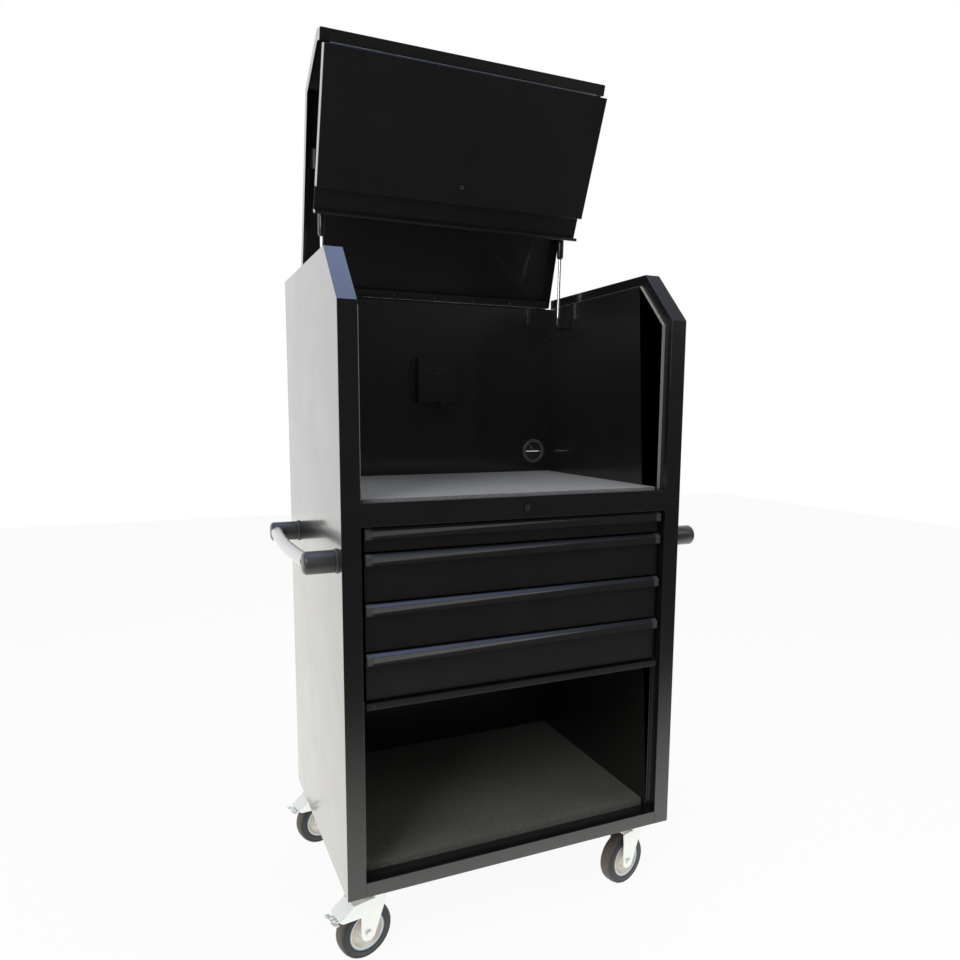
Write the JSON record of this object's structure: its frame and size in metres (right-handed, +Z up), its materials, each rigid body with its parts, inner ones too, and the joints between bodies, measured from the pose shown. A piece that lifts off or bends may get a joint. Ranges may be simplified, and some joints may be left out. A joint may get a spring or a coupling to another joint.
{
  "type": "diagnostic workstation",
  "caption": "Mobile steel cabinet with a flip-up hood and folding front flap over a padded work surface, drawers below and an open lower bay, on swivel casters with side push handles.",
  "frame": {"origin": "centre of the floor footprint with the hood open, on the floor under the casters", "axes": "+Z up, +X to the right seen from the front, the open front faces -Y"},
  "size_m": [0.983, 0.614, 2.0294],
  "materials": {
    "powder_coat": "satin black powder coat",
    "pull_metal": "satin black extrusion",
    "zinc": "bright zinc plate",
    "hinge_steel": "plated steel",
    "strut_rod": "polished rod",
    "strut_paint": "black painted tube",
    "lock_metal": "nickel plated",
    "grip_metal": "satin silver tube",
    "boss_plastic": "moulded",
    "grommet_plastic": "moulded",
    "work_foam": "grey felted foam",
    "floor_foam": "textured mat",
    "wheel_plastic": "moulded pale grey",
    "tyre_rubber": "rubber tread"
  },
  "bodies": {
    "root": {"back_panel": "powder_coat", "base_pan": "powder_coat", "cabinet_hinge_leaf": "hinge_steel", "cabinet_screws": "zinc", "cable_grommet": "grommet_plastic", "caster_plates": "zinc", "drawer_shelf": "powder_coat", "floor_mat": "floor_foam", "handle_brackets": "boss_plastic", "handle_grips": "grip_metal", "mount_box": "powder_coat", "rail_lock_body": "lock_metal", "side_liner_left": "powder_coat", "side_liner_right": "powder_coat", "side_panel_left": "powder_coat", "side_panel_right": "powder_coat", "slide_channels": "hinge_steel", "strut_wall_brackets": "powder_coat", "work_mat": "work_foam", "work_rail": "powder_coat", "worktop_deck": "powder_coat"},
    "hood": {"hood_shell": "powder_coat", "hood_hinge_leaves": "hinge_steel", "hood_strut_brackets": "powder_coat"},
    "flap": {"flap_panel": "powder_coat", "flap_lip": "powder_coat", "flap_hinge_leaf": "hinge_steel", "flap_lock_body": "lock_metal"},
    "flap_lock": {"flap_lock_plug": "lock_metal"},
    "rail_lock": {"rail_lock_plug": "lock_metal"},
    "strut_rod_left": {"strut_rod_left": "strut_rod"},
    "strut_tube_left": {"strut_tube_left": "strut_paint"},
    "strut_rod_right": {"strut_rod_right": "strut_rod"},
    "strut_tube_right": {"strut_tube_right": "strut_paint"},
    "drawer_1": {"drawer_1_box": "powder_coat", "drawer_1_pull": "pull_metal", "drawer_1_runners": "hinge_steel"},
    "drawer_2": {"drawer_2_box": "powder_coat", "drawer_2_pull": "pull_metal", "drawer_2_runners": "hinge_steel"},
    "drawer_3": {"drawer_3_box": "powder_coat", "drawer_3_pull": "pull_metal", "drawer_3_runners": "hinge_steel"},
    "drawer_4": {"drawer_4_box": "powder_coat", "drawer_4_pull": "pull_metal", "drawer_4_runners": "hinge_steel"},
    "caster_front_left": {"caster_fork_front_left": "zinc"},
    "wheel_front_left": {"caster_wheel_front_left": "wheel_plastic", "caster_tyre_front_left": "tyre_rubber"},
    "pedal_front_left": {"brake_pedal_front_left": "zinc"},
    "caster_front_right": {"caster_fork_front_right": "zinc"},
    "wheel_front_right": {"caster_wheel_front_right": "wheel_plastic", "caster_tyre_front_right": "tyre_rubber"},
    "caster_rear_left": {"caster_fork_rear_left": "zinc"},
    "wheel_rear_left": {"caster_wheel_rear_left": "wheel_plastic", "caster_tyre_rear_left": "tyre_rubber"},
    "pedal_rear_left": {"brake_pedal_rear_left": "zinc"},
    "caster_rear_right": {"caster_fork_rear_right": "zinc"},
    "wheel_rear_right": {"caster_wheel_rear_right": "wheel_plastic", "caster_tyre_rear_right": "tyre_rubber"}
  },
  "joints": [
    {"name": "hood_hinge", "type": "hinge", "parent": "root", "child": "hood", "pos_m": [0, 0.28203, 1.4912], "axis": [1, 0, 0], "range_deg": [0, 74]},
    {"name": "flap_hinge", "type": "hinge", "parent": "hood", "child": "flap", "pos_m": [0, 0.00568, 1.99203], "axis": [1, 0, 0], "range_deg": [-97.02, 0]},
    {"name": "strut_swing_left", "type": "hinge", "parent": "root", "child": "strut_rod_left", "pos_m": [-0.336, 0.17403, 1.429], "axis": [1, 0, 0], "range_deg": [0, 80.41]},
    {"name": "strut_slide_left", "type": "slide", "parent": "strut_rod_left", "child": "strut_tube_left", "axis": [0, -0.0384, 0.9993], "range_m": [-0.1469, 0]},
    {"name": "strut_swing_right", "type": "hinge", "parent": "root", "child": "strut_rod_right", "pos_m": [0.336, 0.17403, 1.429], "axis": [1, 0, 0], "range_deg": [0, 80.41]},
    {"name": "strut_slide_right", "type": "slide", "parent": "strut_rod_right", "child": "strut_tube_right", "axis": [0, -0.0384, 0.9993], "range_m": [-0.1469, 0]},
    {"name": "drawer_1_slide", "type": "slide", "parent": "root", "child": "drawer_1", "axis": [0, -1, 0], "range_m": [0, 0.36]},
    {"name": "drawer_2_slide", "type": "slide", "parent": "root", "child": "drawer_2", "axis": [0, -1, 0], "range_m": [0, 0.36]},
    {"name": "drawer_3_slide", "type": "slide", "parent": "root", "child": "drawer_3", "axis": [0, -1, 0], "range_m": [0, 0.36]},
    {"name": "drawer_4_slide", "type": "slide", "parent": "root", "child": "drawer_4", "axis": [0, -1, 0], "range_m": [0, 0.36]},
    {"name": "swivel_front_left", "type": "hinge", "parent": "root", "child": "caster_front_left", "pos_m": [-0.336, -0.24997, 0.159], "axis": [0, 0, 1], "continuous": true},
    {"name": "roll_front_left", "type": "hinge", "parent": "caster_front_left", "child": "wheel_front_left", "pos_m": [-0.366, -0.25778, 0.0625], "axis": [-0.2521, 0.9677, 0], "continuous": true},
    {"name": "brake_front_left", "type": "hinge", "parent": "caster_front_left", "child": "pedal_front_left", "pos_m": [-0.42116, -0.27215, 0.1154], "axis": [0.2521, -0.9677, 0], "range_deg": [0, 18]},
    {"name": "swivel_front_right", "type": "hinge", "parent": "root", "child": "caster_front_right", "pos_m": [0.336, -0.24997, 0.159], "axis": [0, 0, 1], "continuous": true},
    {"name": "roll_front_right", "type": "hinge", "parent": "caster_front_right", "child": "wheel_front_right", "pos_m": [0.306, -0.25778, 0.0625], "axis": [-0.2521, 0.9677, 0], "continuous": true},
    {"name": "swivel_rear_left", "type": "hinge", "parent": "root", "child": "caster_rear_left", "pos_m": [-0.336, 0.23303, 0.159], "axis": [0, 0, 1], "continuous": true},
    {"name": "roll_rear_left", "type": "hinge", "parent": "caster_rear_left", "child": "wheel_rear_left", "pos_m": [-0.366, 0.22522, 0.0625], "axis": [-0.2521, 0.9677, 0], "continuous": true},
    {"name": "brake_rear_left", "type": "hinge", "parent": "caster_rear_left", "child": "pedal_rear_left", "pos_m": [-0.42116, 0.21085, 0.1154], "axis": [0.2521, -0.9677, 0], "range_deg": [0, 18]},
    {"name": "swivel_rear_right", "type": "hinge", "parent": "root", "child": "caster_rear_right", "pos_m": [0.336, 0.23303, 0.159], "axis": [0, 0, 1], "continuous": true},
    {"name": "roll_rear_right", "type": "hinge", "parent": "caster_rear_right", "child": "wheel_rear_right", "pos_m": [0.306, 0.22522, 0.0625], "axis": [-0.2521, 0.9677, 0], "continuous": true},
    {"name": "rail_lock_turn", "type": "hinge", "parent": "root", "child": "rail_lock", "pos_m": [0, -0.30397, 0.982], "axis": [0, -1, 0], "range_deg": [0, 90]},
    {"name": "flap_lock_turn", "type": "hinge", "parent": "flap", "child": "flap_lock", "pos_m": [0, 0.07855, 1.74768], "axis": [0, -0.9205, -0.3907], "range_deg": [0, 90]}
  ],
  "couplings": [
    {"joint": "flap_hinge", "follows": "hood_hinge", "ratio": -1.3108},
    {"joint": "strut_swing_left", "follows": "hood_hinge", "ratio": 1.086},
    {"joint": "strut_slide_left", "follows": "hood_hinge", "m_per_rad": -0.1136},
    {"joint": "strut_swing_right", "follows": "hood_hinge", "ratio": 1.086},
    {"joint": "strut_slide_right", "follows": "hood_hinge", "m_per_rad": -0.1136}
  ]
}
